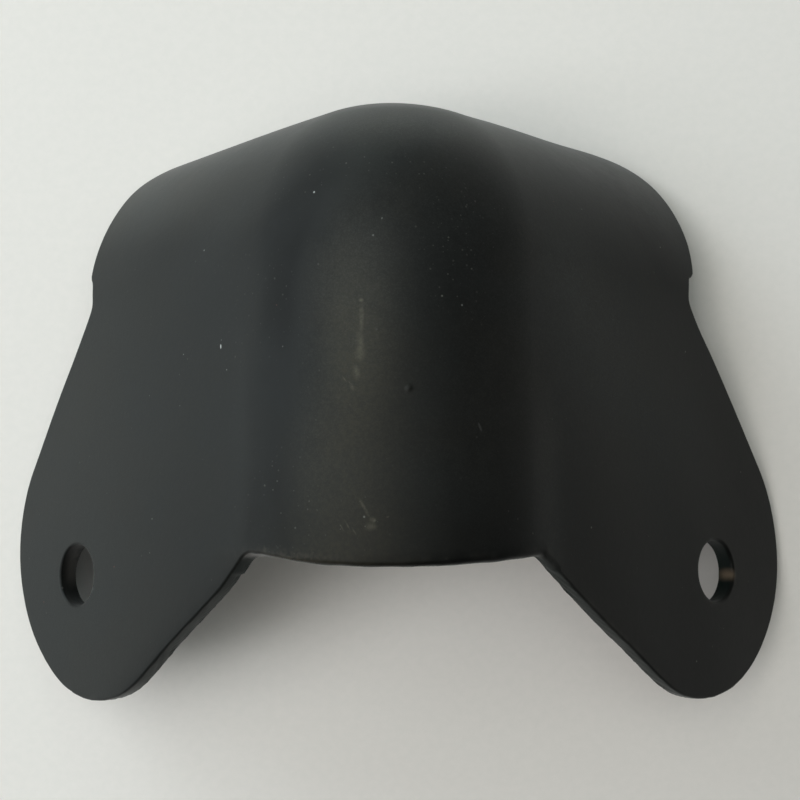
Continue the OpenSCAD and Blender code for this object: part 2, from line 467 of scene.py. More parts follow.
for loop_no, L in enumerate(LOOPS):
    out, inn = L["out"], L["inn"]
    n = len(out)
    s = arclen(out)[:-1]
    _, d_out = foot(out)
    _, g_out = loop_frame(out, d_out)
    _, d_in = foot(inn)
    _, g_in = loop_frame(inn, d_in)
    r1, r2 = L["r1"], L["r2"]
    i_out = onto(out + r1 * g_out, R)
    i_in = onto(inn + r2 * g_in, R - T)
    i_out, n_out = displaced(i_out, relief, R)
    i_in, n_in = displaced(i_in, shape_in, R - T)
    lift_in = shape_in(inn)[:, None] * d_in
    out = out + relief(out)[:, None] * d_out
    inn = inn + lift_in
    if loop_no:
        inn = inn - L["burr"] * d_in            # the burr that the punch left
    down = inn - out
    down /= np.linalg.norm(down, axis=1, keepdims=True)
    w1 = out + r1 * down
    w2 = inn - r2 * down
    total = s[-1] + 0.3
    slow = Waves(21 + loop_no, total, 2.5, 14.0, 0.012 * L["rough"])
    fast = Waves(41 + loop_no, total, 0.7, 2.2, 0.010 * L["rough"])
    torn = Waves(61 + loop_no, total, 0.6, 3.0, 0.020 * L["rough"])
    rows = [i_out]
    for k in np.linspace(0, 1, N_ROUND + 1)[1:]:
        rows.append(bezier(i_out, out, w1, k))
    for k in np.linspace(0, 1, N_WALL + 1)[1:]:
        rows.append(w1 + (w2 - w1) * k)
    for k in np.linspace(0, 1, N_ROUND + 1)[1:]:
        rows.append(bezier(w2, inn, i_in, k))
    depth = [float(np.mean(np.linalg.norm(r - i_out, axis=1))) for r in rows]
    for j, row in enumerate(rows[1:-1], 1):
        v = np.mean(((row - out) * down).sum(1)) / T          # 0 outer face, 1 inner face
        inside = soft(j, 0, N_ROUND) * (1 - soft(j, N_ROUND + N_WALL + 1, len(rows) - 1))
        amp = slow(s) + fast(s + 3.0 * v) + torn(s + 5 * v) * soft(v, 0.35, 0.9)
        # the lower half of a sheared edge breaks off a little further in
        taper = 0.05 * L["rough"] * soft(v, 0.3, 1.0)
        rows[j] = row - g_out * (inside * (amp - taper))[:, None]
    first = count
    for j, row in enumerate(rows):
        verts.append(row)
        normals.append(n_out if j == 0 else (-n_in if j == len(rows) - 1 else np.zeros((n, 3))))
        v = float(np.clip((j - N_ROUND * 0.55) / (N_WALL + 1.2), 0, 1))
        # the left hole's wall gets none of the cut edges' tone and stays darker: painted shade
        cut.append(np.full(n, (1.0, 0.0, 1.0)[loop_no] * soft(v, 0.10, 0.35) * (1 - soft(j, len(rows) - 4, len(rows) - 1))))
        wall_v.append(np.full(n, v if loop_no == 1 else 0.0))
        if j:
            a = first + (j - 1) * n + np.arange(n)
            b = first + j * n + np.arange(n)
            an, bn = np.roll(a, -1), np.roll(b, -1)
            quads.append(np.stack([a, b, bn, an], 1))
    outer_rings.append(first + np.arange(n))
    inner_rings.append(first + (len(rows) - 1) * n + np.arange(n))
    count += n * len(rows)


def even_odd(q, ring):
    """True for points inside the closed ring."""
    inside = np.zeros(len(q), bool)
    a, b = ring, np.roll(ring, -1, 0)
    for (x0, y0), (x1, y1) in zip(a, b):
        hit = (y0 > q[:, 1]) != (y1 > q[:, 1])
        if hit.any():
            x = x0 + (q[hit, 1] - y0) * (x1 - x0) / (y1 - y0)
            inside[hit] ^= q[hit, 0] < x
    return inside


def near(q, ring, reach):
    """True for points closer to the ring's points than reach, on a cell grid."""
    cell = reach
    keys = {}
    for k, (i, j) in enumerate(np.floor(ring / cell).astype(int)):
        keys.setdefault((i, j), []).append(k)
    ij = np.floor(q / cell).astype(int)
    close = np.zeros(len(q), bool)
    for n_, (i, j) in enumerate(ij):
        got = [k for a in (-1, 0, 1) for b in (-1, 0, 1) for k in keys.get((i + a, j + b), ())]
        if got and np.min(np.sum((ring[got] - q[n_]) ** 2, 1)) < reach * reach:
            close[n_] = True
    return close


def face(rings, rad, field, extra=None):
    """Grid and rings of one side joined into triangles."""
    all_v = np.concatenate(verts)
    ring_q = [flat(all_v[r]) for r in rings]
    lo, hi = ring_q[0].min(0), ring_q[0].max(0)
    gx = np.arange(lo[0], hi[0] + GRID, GRID)
    gy = np.arange(lo[1], hi[1] + GRID, GRID * math.sqrt(3) / 2)
    q = np.array([(x + (GRID / 2 if j % 2 else 0), y) for j, y in enumerate(gy) for x in gx])
    keep = even_odd(q, ring_q[0])
    for r in ring_q[1:]:
        keep &= ~even_odd(q, r)
    q = q[keep]
    if extra is not None:
        centre, spacing, reach = extra
        cq = flat(centre[None])[0]
        q = q[np.linalg.norm(q - cq, axis=1) > reach]
        fine = np.arange(-reach, reach + spacing, spacing)
        add = np.array([(x + (spacing / 2 if j % 2 else 0), y)
                        for j, y in enumerate(fine * math.sqrt(3) / 2) for x in fine])
        add = add[np.linalg.norm(add, axis=1) < reach - 0.5 * spacing] + cq
        q = np.concatenate([q, add])
    q = q[~near(q, np.concatenate(ring_q), GRID * 0.55)]
    p = lift(q, rad)
    p, nn = displaced(p, field, rad)
    ids = np.concatenate(rings)
    pts = np.concatenate([np.concatenate(ring_q), q])
    edges, at = [], 0
    for r in rings:
        k = np.arange(len(r))
        edges += [(at + a, at + b) for a, b in zip(k.tolist(), np.roll(k, -1).tolist())]
        at += len(r)
    res = delaunay_2d_cdt([Vector(x) for x in pts.tolist()], edges, [], 2, 1e-7)
    back = [o[0] if o else -1 for o in res[3]]
    if min(back) < 0 or len(res[0]) != len(pts):
        raise RuntimeError("the outline crosses itself")
    base = count + 0
    table = np.concatenate([ids, base + np.arange(len(q))])
    f = np.array([[back[i] for i in t] for t in res[2]])
    middle = pts[f].mean(1)
    keep = even_odd(middle, ring_q[0])
    for r in ring_q[1:]:
        keep &= ~even_odd(middle, r)
    f = f[keep]
    a, b, c = pts[f[:, 0]], pts[f[:, 1]], pts[f[:, 2]]
    ccw = (b[:, 0] - a[:, 0]) * (c[:, 1] - a[:, 1]) - (b[:, 1] - a[:, 1]) * (c[:, 0] - a[:, 0]) > 0
    f[~ccw] = f[~ccw][:, ::-1]
    return p, nn, table[f]


p, nn, f = face(outer_rings, R, relief, (PIMPLE, 0.07, 0.62))
verts.append(p); normals.append(nn); tris.append(f); count += len(p)
cut.append(np.zeros(len(p))); wall_v.append(np.zeros(len(p)))
p, nn, f = face(inner_rings, R - T, shape_in)
verts.append(p); normals.append(-nn); tris.append(f[:, ::-1]); count += len(p)
cut.append(np.zeros(len(p))); wall_v.append(np.zeros(len(p)))

V = np.concatenate(verts)
N = np.concatenate(normals)
QUADS, TRIS = np.concatenate(quads), np.concatenate(tris)

# walls take their normals from the mesh itself
area_n = np.zeros_like(V)
for f in (TRIS, QUADS[:, [0, 1, 2]], QUADS[:, [0, 2, 3]]):
    fn = np.cross(V[f[:, 1]] - V[f[:, 0]], V[f[:, 2]] - V[f[:, 0]])
    for k in range(3):
        np.add.at(area_n, f[:, k], fn)
area_n /= np.maximum(np.linalg.norm(area_n, axis=1, keepdims=True), 1e-12)
given = np.linalg.norm(N, axis=1) > 0.5
flip = float(np.mean((area_n[given] * N[given]).sum(1)))
every = np.concatenate([np.sort(np.stack([F[:, k], np.roll(F, -1, 1)[:, k]], 1), 1)
                        for F in (QUADS, TRIS) for k in range(F.shape[1])])
shared = np.unique(every, axis=0, return_counts=True)[1]
if not (shared == 2).all():
    raise RuntimeError("the mesh isn't closed")
N = np.where(given[:, None], N, area_n)

world = to_world(V)
mesh = bpy.data.meshes.new("pressed_corner")
nv, nq, nt = len(V), len(QUADS), len(TRIS)
mesh.vertices.add(nv)
mesh.vertices.foreach_set("co", world.astype(np.float32).ravel())
mesh.loops.add(4 * nq + 3 * nt)
mesh.loops.foreach_set("vertex_index", np.concatenate([QUADS.ravel(), TRIS.ravel()]).astype(np.int32))
mesh.polygons.add(nq + nt)
starts = np.concatenate([np.arange(nq) * 4, 4 * nq + np.arange(nt) * 3]).astype(np.int32)
mesh.polygons.foreach_set("loop_start", starts)
mesh.update(calc_edges=True)
if mesh.validate(verbose=True):
    raise RuntimeError("the mesh had faults")
mesh.polygons.foreach_set("use_smooth", np.ones(nq + nt, bool))
mesh.normals_split_custom_set_from_vertices((N @ TURN.T).astype(np.float32).tolist())
corner = bpy.data.objects.new("pressed_corner", mesh)
bpy.context.scene.collection.objects.link(corner)
print("mesh", nv, "vertices", 2 * nq + nt, "triangles; normals agree", round(flip, 4), "edge", n_edge, round(length, 1))

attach(corner, "root")
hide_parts("corner_protector")


# ----------------------------------------------------------------------------
# Masks for the finish, one number per vertex: a brown-grey film along the ridge, a pale haze that is partly
# dust and partly painted light and shade, and how near a vertex is to the cut edge.
# ----------------------------------------------------------------------------
def per_vertex(name, values):
    at = mesh.attributes.new(name, "FLOAT", "POINT")
    at.data.foreach_set("value", np.asarray(values, np.float32))


part_mm = world * 1000.0
X, Y, Z = part_mm.T
_, facing = foot(V)
outer_side = np.zeros(nv)
outer_side[:] = np.linalg.norm(np.maximum(R - V, 0), axis=1) > R - 0.35
lower = np.clip(2.5 - Y, 0, 12)
line = -2.9 - 0.10 * lower
film = np.exp(-((X - line) / np.where(X < line, 1.4 + 0.09 * lower, 2.0 + 0.12 * lower)) ** 2 / 2)
film *= soft(Y, 14.5, 6.5) * (0.58 - 0.06 * soft(Y, 5.0, 8.0) + 0.30 * np.exp(-((Y - 3.0) / 3.2) ** 2 / 2))
per_vertex("film", film * outer_side)


def patch(x, y, along, across, turn, height):
    """Soft elliptic patch in plan."""
    c, s_ = math.cos(math.radians(turn)), math.sin(math.radians(turn))
    u, v = (X - x) * c + (Y - y) * s_, -(X - x) * s_ + (Y - y) * c
    return height * np.exp(-((u / along) ** 2 + (v / across) ** 2) / 2)


# pale haze, in thousandths, partly fine dust and partly painted light and shade: more on the wings than in the bends
# beside the ridge, where it is painted shade
ring_y = np.clip(Y - 5.0, 0, None)
upper = soft(Y, 3.0, 7.0)
arch = (np.abs((X - 0.5) / (9.6 - 1.0 * upper)) ** 2.6 + (ring_y / 14.5) ** 2.6) ** (1 / 2.6) - 1.0
dust_and_painted_shading = 4.9 + 7.0 * soft(-X, 13.0, 27.0)
# duller paint along the left bend and round the ball
bow = (np.abs((X - 0.5) / 8.6) ** 2.6 + (ring_y / 14.5) ** 2.6) ** (1 / 2.6) - 1.0
dull = np.exp(-(bow / 0.20) ** 2) * soft(X, 4.0, -4.0) * (0.35 + 0.65 * upper) * soft(Y, 18.5, 15.5)
per_vertex("dull", dull * outer_side)
# painted light and shade: lighter at the top-left bend, darker along the arch of the left bend and towards the lower
# right of the right wing, and patches lighter or darker over ridge, ball and wings
dust_and_painted_shading += 13.2 * soft(Y, 11.5, 17.0) * soft(-X, 5.0, 15.0)
dust_and_painted_shading -= (4.5 + 1.5 * upper) * (1.0 - 0.65 * soft(Y, 12.5, 15.5)) * np.exp(-(arch / 0.17) ** 2) * soft(X, 6.0, -2.0)
dust_and_painted_shading += 2.2 * np.exp(-((X + 10.9) / 0.7) ** 2) * soft(Y, 7.0, 3.0)
dust_and_painted_shading += patch(0.0, 21.0, 7.0, 1.6, 0, 26.0) + patch(7.0, 19.8, 4.0, 1.5, -25, 10.5)
dust_and_painted_shading += patch(-10.5, 15.5, 5.0, 1.5, 48, 5.0) + patch(-2.5, 19.3, 5.5, 1.3, 8, 5.0)
dust_and_painted_shading -= patch(-5.5, 16.0, 3.6, 3.0, 40, 7.5) + patch(-6.5, 14.5, 2.6, 1.5, 60, 2.8)
dust_and_painted_shading += patch(-2.5, 9.0, 2.2, 4.5, 0, 16.0) + patch(-2.6, 4.0, 1.5, 3.0, 0, 8.5)
dust_and_painted_shading += patch(-4.6, -3.0, 2.4, 6.0, 0, 8.5) + patch(3.0, -4.0, 4.5, 9.0, 0, 3.4)
dust_and_painted_shading += patch(3.0, 15.0, 5.0, 3.0, 0, 4.6) + patch(7.2, 0.0, 1.8, 8.0, 0, 2.5)
dust_and_painted_shading -= patch(-7.6, -1.0, 0.8, 9.0, 0, 3.0) + patch(-8.9, -6.5, 1.2, 4.0, 0, 1.5)
dust_and_painted_shading -= patch(-8.2, 3.5, 1.5, 4.5, 0, 0.8) + patch(-12.2, 15.9, 2.0, 1.0, 15, 3.6)
dust_and_painted_shading += patch(-7.2, 16.3, 1.6, 1.0, 45, 6.0) - patch(-5.5, 3.5, 1.2, 2.5, 0, 2.2)
dust_and_painted_shading += 10.0 * np.exp(-((X - 10.8) / 1.0) ** 2) * soft(Y, 3.0, -4.0)
dust_and_painted_shading += patch(14.5, 7.0, 6.5, 3.6, -55, 12.3) + patch(17.5, -1.0, 7.0, 4.0, -50, 7.0)
dust_and_painted_shading += patch(13.0, 9.5, 2.8, 1.8, -60, 7.3) - patch(18.5, 15.5, 5.0, 1.8, -45, 3.7)
dust_and_painted_shading -= patch(20.3, 13.2, 4.5, 0.9, -62, 5.0)
dust_and_painted_shading -= 5.8 * soft(X - 0.6 * Y, 22.0, 36.0)
dust_and_painted_shading -= 3.2 * soft(-Y, 4.0, 11.0) * soft(X, -12.0, -10.0) * soft(-X, -12.0, -10.0)
# painted shade: no haze along the ridge's lower edge and the inner edge of the left leg, so that these edges look dark
dust_and_painted_shading *= 1.0 - (np.abs(X) < 10.6) * soft(-Y, 9.9, 10.6) * (Z > 15)
leg_edge = (Y + 10.9 - 1.136 * (X + 10.9)) / 1.513
on_leg = (X < -10.5) * (Y < -10.5)
dust_and_painted_shading *= 1.0 - 0.40 * soft(-leg_edge, -2.0, -0.3) * on_leg
dust_and_painted_shading *= 1.0 - 0.95 * soft(-leg_edge, -0.42, -0.20) * on_leg
# the left hole: painted shade along its left side, and painted bounce light on its wall further down
hole_mid = to_world([HOLE_U, T / 2, HOLE_W]) * 1000.0
hole_far = np.hypot(V[:, 0] - HOLE_U, V[:, 2] - HOLE_W)
dust_and_painted_shading *= 1.0 - 0.85 * soft(-hole_far, -2.72, -2.55) * (V[:, 1] < 2.0) * soft(hole_mid[0] - X, -0.6, 0.2)
speck = patch(4.3, 11.5, 2.0, 4.5, 0, 1.0) + patch(-7.9, -6.9, 1.7, 2.4, 0, 1.0) + patch(-5.5, 16.0, 1.8, 1.6, 30, 0.9)
speck += patch(-0.5, 16.5, 2.2, 1.2, 0, 0.8) + patch(-8.0, 17.0, 2.6, 1.4, 20, 0.7) + patch(-9.5, 7.5, 2.6, 3.0, 0, 0.6) + patch(-3.0, -8.4, 1.8, 1.2, 0, 0.6)
per_vertex("calm", patch(-5.65, -0.25, 0.5, 0.5, 0, 1.5))
per_vertex("speck", np.clip(speck, 0.0, 1.0) * outer_side)
per_vertex("dust_and_painted_shading", np.clip(dust_and_painted_shading, 0.0, None) * 0.001 * outer_side)
ring_pts = np.concatenate([V[r] for r in outer_rings])
edge_mm = np.full(nv, 3.0)
for i in range(0, nv, 2000):
    d2 = ((V[i:i + 2000, None, :] - ring_pts[None]) ** 2).sum(2)
    edge_mm[i:i + 2000] = np.sqrt(d2.min(1))
# the edge tint is kept off the inner edge of the left leg, which stays dark as painted shade
per_vertex("edge", np.clip(1.0 - edge_mm / 1.6, 0, 1) * outer_side * (1.0 - soft(-leg_edge, -1.0, -0.4) * on_leg))
worn = np.exp(-((X + 7.6) / 1.9) ** 2 / 2) * soft(Y, -9.9, -10.5) * (Z > 15)
per_vertex("worn", worn)
CUT = np.concatenate(cut)
per_vertex("cut", CUT)
# a lighter stretch of cut wall at the ridge's lower end, and painted bounce light on the lower wall of the left hole
per_vertex("lighter_wall_and_bounce", CUT * soft(-X, 6.0, 9.4) * soft(X, -11.4, -10.9) * soft(Y, -10.95, -10.70) * (Z > 18) * (Y < -9)
           + 0.30 * soft(np.concatenate(wall_v), 0.25, 0.9) * soft(Y - hole_mid[1], -1.6, -0.2))


# ----------------------------------------------------------------------------
# Materials
# ----------------------------------------------------------------------------
class Tree:
    """Short calls that add a node, join its inputs and return its output."""

    def __init__(self, name):
        self.mat = bpy.data.materials.new(name)
        self.mat.use_nodes = True
        self.t = self.mat.node_tree
        self.t.nodes.clear()
        out_ = self.t.nodes.new("ShaderNodeOutputMaterial")
        self.bsdf = self.t.nodes.new("ShaderNodeBsdfPrincipled")
        self.t.links.new(self.bsdf.outputs[0], out_.inputs[0])

    def put(self, socket, value):
        if isinstance(value, bpy.types.NodeSocket):
            self.t.links.new(value, socket)
        elif value is not None:
            socket.default_value = value

    def node(self, kind, ins=(), out=0, **sets):
        n_ = self.t.nodes.new(kind)
        for k, v in sets.items():
            setattr(n_, k, v)
        for k, v in (ins.items() if isinstance(ins, dict) else enumerate(ins)):
            self.put(n_.inputs[k], v)
        return n_.outputs[out]

    def math(self, op, a, b=None, c=None, clamp=False):
        return self.node("ShaderNodeMath", [a, b, c], operation=op, use_clamp=clamp)

    def vec(self, op, a, b=None, out=0):
        return self.node("ShaderNodeVectorMath", [a, b], out=out, operation=op)

    def ramp(self, v, a, b, lo=0.0, hi=1.0):
        return self.node("ShaderNodeMapRange", [v, a, b, lo, hi], interpolation_type="SMOOTHSTEP")

    def noise(self, p, scale, detail=2.0, rough=0.5, out=0):
        return self.node("ShaderNodeTexNoise", {"Vector": p, "Scale": scale, "Detail": detail, "Roughness": rough},
                         out=out)

    def cells(self, p, scale, rand=1.0):
        n_ = self.t.nodes.new("ShaderNodeTexVoronoi")
        n_.feature = "F1"
        self.put(n_.inputs["Vector"], p)
        self.put(n_.inputs["Scale"], scale)
        self.put(n_.inputs["Randomness"], rand)
        return n_.outputs["Distance"], n_.outputs["Color"]

    def mix(self, f, a, b):
        n_ = self.t.nodes.new("ShaderNodeMix")
        n_.data_type = "RGBA"
        self.put(n_.inputs[0], f)
        self.put(n_.inputs[6], a)
        self.put(n_.inputs[7], b)
        return n_.outputs[2]

    def split(self, c):
        n_ = self.t.nodes.new("ShaderNodeSeparateColor")
        self.put(n_.inputs[0], c)
        return n_.outputs

    def attr(self, name):
        return self.node("ShaderNodeAttribute", out=2, attribute_name=name)

    def mark(self, p, centre, along, half, fade=0.45, deep=0.5):
        """Soft elliptic spot in the surface: centre and direction in part millimetres,
        half sizes along, across and into the sheet."""
        local = to_local(np.array(centre))
        _, d = foot(local)
        normal = TURN @ d
        a = np.array(along, float)
        a -= (a @ normal) * normal
        a /= np.linalg.norm(a)
        rot = Matrix(np.stack([a, np.cross(normal, a), normal], 1).tolist()).to_euler()
        q = self.node("ShaderNodeMapping", {0: p, 1: tuple(centre), 2: tuple(rot),
                                            3: (half[0], half[1], deep)}, vector_type="TEXTURE")
        return self.ramp(self.vec("LENGTH", q, out=1), 1.0, fade)


paint = Tree("satin_black_paint")
P = paint
pos = P.node("ShaderNodeTexCoord", out=3)
mm = P.vec("MULTIPLY", pos, (1000.0, 1000.0, 1000.0))
film_a, edge_a, worn_a = P.attr("film"), P.attr("edge"), P.attr("worn")

broad = P.noise(mm, 0.11, 3.0, 0.55)
blotch = P.noise(mm, 0.65, 3.0, 0.6)
grain = P.noise(mm, 3.4, 3.0, 0.62)
fine = P.noise(mm, 9.0, 2.0, 0.6)

# paint: nearly black, under a thin uneven haze that is partly fine dust and partly painted light and shade
tone = P.ramp(broad, 0.35, 0.65)
base = P.mix(tone, (0.0011, 0.0014, 0.0014, 1), (0.0014, 0.0015, 0.0013, 1))
dust_and_painted_light_amount = P.math("ADD", 0.76, P.math("MULTIPLY", P.ramp(blotch, 0.34, 0.68), 0.12))
dust_and_painted_light_amount = P.math("ADD", dust_and_painted_light_amount, P.math("MULTIPLY", P.ramp(grain, 0.38, 0.72), 0.20))
dust_and_painted_light_amount = P.math("ADD", dust_and_painted_light_amount, P.math("MULTIPLY", P.ramp(fine, 0.42, 0.74), 0.42))
dust_and_painted_light_amount = P.math("MULTIPLY", P.math("MULTIPLY", P.attr("dust_and_painted_shading"), 10.0), dust_and_painted_light_amount, clamp=True)
base = P.mix(dust_and_painted_light_amount, base, P.mix(tone, (0.097, 0.103, 0.101, 1), (0.102, 0.103, 0.096, 1)))

# brown-grey film along the ridge, broken up by the grain
film_b = P.math("MULTIPLY", film_a, P.math("ADD", 0.62, P.math("MULTIPLY", P.ramp(blotch, 0.30, 0.70), 0.20)))
film_b = P.math("MULTIPLY", film_b, P.math("ADD", 0.62, P.math("MULTIPLY", P.ramp(grain, 0.35, 0.70), 0.45)))
base = P.mix(P.math("MULTIPLY", film_b, 0.60, clamp=True), base, (0.037, 0.031, 0.015, 1))

# fine light grains in clusters, and a few coarser ones
d1, c1 = P.cells(mm, 1.75)
s1 = P.split(c1)
cluster = P.ramp(P.noise(P.vec("ADD", mm, (7.0, 3.0, 1.0)), 0.22, 2.0, 0.5), 0.42, 0.68)
r1 = P.math("MULTIPLY", s1[0], 0.16)
g1 = P.math("MULTIPLY", P.ramp(P.math("SUBTRACT", d1, r1), 0.03, -0.05), P.math("POWER", s1[1], 3.0))
g1 = P.math("MULTIPLY", g1, P.math("ADD", 0.12, P.math("MULTIPLY", cluster, 0.50)))
d3, c3 = P.cells(P.vec("ADD", mm, (11.0, 2.0, 5.0)), 3.1)
s3 = P.split(c3)
g3 = P.math("MULTIPLY", P.ramp(P.math("SUBTRACT", d3, P.math("MULTIPLY", s3[0], 0.24)), 0.05, -0.08),
            P.math("GREATER_THAN", s3[1], 0.45))
g3 = P.math("MULTIPLY", g3, P.math("MULTIPLY", P.attr("speck"), P.math("ADD", 0.25, P.math("MULTIPLY", s3[2], 0.65))))
g1 = P.math("MAXIMUM", g1, g3)
base = P.mix(P.math("MULTIPLY", g1, 0.65, clamp=True), base, (0.105, 0.105, 0.092, 1))
d2, c2 = P.cells(P.vec("ADD", mm, (31.0, 5.0, 17.0)), 0.55)
s2 = P.split(c2)
r2 = P.math("MULTIPLY", s2[0], 0.045)
g2 = P.math("MULTIPLY", P.ramp(P.math("SUBTRACT", d2, r2), 0.012, -0.02), P.math("GREATER_THAN", s2[1], 0.45))
g2 = P.math("MULTIPLY", g2, P.math("SUBTRACT", 1.0, P.attr("calm"), clamp=True))
base = P.mix(P.math("MULTIPLY", g2, 0.8, clamp=True), base,
             P.mix(P.ramp(s2[2], 0.75, 0.8), (0.12, 0.12, 0.11, 1), (0.11, 0.050, 0.042, 1)))

# single marks, each at its own place: centre, direction, half sizes, strength
MARKS = [
    ((-12.60, 4.19, 18.90), (-0.15, 1.0, 0.0), (0.24, 0.075), 1.00),     # lint
    ((-12.56, 4.66, 18.88), (0.0, 1.0, 0.0), (0.06, 0.05), 0.25),
    ((-5.57, 14.89, 22.68), (0.0, 1.0, 0.0), (0.10, 0.09), 0.70),        # bright specks
    ((-14.19, 11.51, 16.32), (0.0, 1.0, 0.0), (0.08, 0.07), 0.40),
    ((-15.74, 3.74, 15.80), (0.0, 1.0, 0.0), (0.08, 0.07), 0.40),
    ((-12.10, 2.48, 19.63), (0.0, 1.0, 0.0), (0.07, 0.07), 0.30),
    ((-18.72, 0.69, 13.18), (0.0, 1.0, 0.0), (0.08, 0.07), 0.35),
    ((-15.95, -0.10, 16.08), (0.0, 1.0, 0.0), (0.07, 0.07), 0.30),
    ((-0.77, 12.76, 24.59), (0.3, 1.0, 0.0), (0.10, 0.07), 0.16),
    ((-1.39, 11.57, 24.77), (0.0, 1.0, 0.0), (0.09, 0.08), 0.20),
    ((4.71, 6.71, 24.62), (0.0, 1.0, 0.0), (0.09, 0.08), 0.25),
    # painted highlight: a small glint on the right rim of the left hole
    ((-24.05, -14.62, 9.72), (0.25, 1.0, 0.0), (0.26, 0.11), 0.10),     # rim of the left hole
    ((5.85, -1.70, 25.20), (0.4, -1.0, 0.0), (0.42, 0.10), 0.06),        # short scratch
]
specks_and_painted_glint = None
for centre, along, half, amount in MARKS:
    m_ = P.math("MULTIPLY", P.mark(mm, centre, along, half), amount)
    specks_and_painted_glint = m_ if specks_and_painted_glint is None else P.math("MAXIMUM", specks_and_painted_glint, m_)
base = P.mix(specks_and_painted_glint, base, (0.42, 0.43, 0.42, 1))

# light brown rub marks on the ridge
RUBS = [
    ((-2.22, 7.05, 25.20), (0.0, 1.0, 0.0), (0.20, 0.26), 0.20),
    ((-2.20, 5.90, 25.35), (0.0, 1.0, 0.0), (1.50, 0.24), 0.20),
    ((-2.17, 6.15, 25.33), (0.0, 1.0, 0.0), (0.95, 0.13), 0.16),
    ((-2.30, 4.00, 25.55), (-0.05, 1.0, 0.0), (1.60, 0.42), 0.15),
    ((-2.32, 3.35, 25.65), (-0.1, 1.0, 0.0), (0.75, 0.50), 0.15),
    ((-2.55, 2.10, 25.75), (-0.2, 1.0, 0.0), (0.75, 0.34), 0.17),
    ((-2.85, 1.10, 25.80), (-0.4, 1.0, 0.0), (0.60, 0.22), 0.09),
    ((-2.05, -7.05, 27.0), (0.55, -1.0, 0.1), (0.95, 0.16), 0.15),
    ((-1.48, -7.85, 27.2), (0.6, -1.0, 0.1), (0.36, 0.30), 0.16),
    ((-1.62, -8.30, 27.2), (1.0, 0.0, 0.0), (0.65, 0.40), 0.13),
    ((-8.95, -10.15, 24.1), (0.35, -1.0, 0.0), (0.50, 0.24), 0.12),
    ((-3.20, -8.20, 27.0), (0.6, -1.0, 0.1), (0.60, 0.09), 0.13),
    ((-3.60, -8.35, 26.9), (0.6, -1.0, 0.1), (0.50, 0.08), 0.11),
    ((-2.75, -8.60, 27.1), (0.6, -1.0, 0.1), (0.45, 0.08), 0.11),
    ((-0.48, -7.65, 27.2), (1.0, 0.3, 0.0), (0.16, 0.09), 0.22),
    ((-3.35, 1.60, 25.6), (0.7, -1.0, 0.0), (0.40, 0.06), 0.16),
    ((-3.00, 1.35, 25.7), (0.7, -1.0, 0.0), (0.30, 0.06), 0.16),
]
rub = None
for centre, along, half, amount in RUBS:
    m_ = P.math("MULTIPLY", P.mark(mm, centre, along, half, 0.0), amount)
    rub = m_ if rub is None else P.math("MAXIMUM", rub, m_)
rub = P.math("MULTIPLY", rub, P.math("ADD", 0.45, P.math("MULTIPLY", P.ramp(grain, 0.32, 0.66), 0.75)))
base = P.mix(P.math("MULTIPLY", rub, 0.95, clamp=True), base, (0.205, 0.190, 0.140, 1))

# paint worn thin where the lower edge of the ridge rubs on things
worn_b = P.math("MULTIPLY", worn_a, P.ramp(grain, 0.30, 0.62))
base = P.mix(P.math("MULTIPLY", worn_b, 0.25, clamp=True), base, (0.085, 0.070, 0.055, 1))
edge_b = P.math("MULTIPLY", P.ramp(edge_a, 0.72, 1.0), P.ramp(blotch, 0.45, 0.75))
base = P.mix(P.math("MULTIPLY", edge_b, 0.28), base, (0.030, 0.029, 0.026, 1))
# the sheared edges: thinner, duller paint; a lighter stretch of cut wall at the ridge's lower end, and painted bounce
# light on the lower wall of the left hole
cut_a, lighter_wall_and_bounce_a = P.attr("cut"), P.attr("lighter_wall_and_bounce")
cut_b = P.math("MULTIPLY", cut_a, P.math("ADD", 0.45, P.math("MULTIPLY", blotch, 0.8)), clamp=True)
base = P.mix(cut_b, base, (0.0022, 0.0062, 0.0054, 1))
base = P.mix(P.math("MULTIPLY", lighter_wall_and_bounce_a, P.ramp(blotch, 0.25, 0.5), clamp=True), base, (0.105, 0.100, 0.096, 1))
# painted reflection: a warm brown patch on the wall of the right hole, where the wall reflects the bright floor
painted_warm_reflection = P.mark(mm, tuple((to_world([0.62, 38.98, 37.05]) * 1000.0).tolist()), (0.0, -1.0, 0.0), (0.74, 0.62), 0.0, 1.3)
base = P.mix(P.math("MULTIPLY", painted_warm_reflection, P.math("ADD", 0.55, P.math("MULTIPLY", blotch, 0.5)), clamp=True), base, (0.120, 0.088, 0.062, 1))
P.put(P.bsdf.inputs["Base Color"], base)

# satin sheen, duller under the film and rubbed glossier in spots
gloss = P.math("ADD", 0.450, P.math("MULTIPLY", P.math("SUBTRACT", blotch, 0.5), 0.10))
gloss = P.math("ADD", gloss, P.math("MULTIPLY", P.math("SUBTRACT", grain, 0.5), 0.08))
gloss = P.math("ADD", gloss, P.math("MULTIPLY", film_b, 0.10))
gloss = P.math("ADD", gloss, P.math("MULTIPLY", P.attr("dull"), 0.11))
gloss = P.math("ADD", gloss, P.math("MULTIPLY", P.math("MAXIMUM", g1, g2), 0.25), clamp=True)
P.put(P.bsdf.inputs["Roughness"], gloss)
P.put(P.bsdf.inputs["Specular IOR Level"], 0.115)
P.put(P.bsdf.inputs["Sheen Weight"], 0.075)
P.put(P.bsdf.inputs["Sheen Roughness"], 0.5)

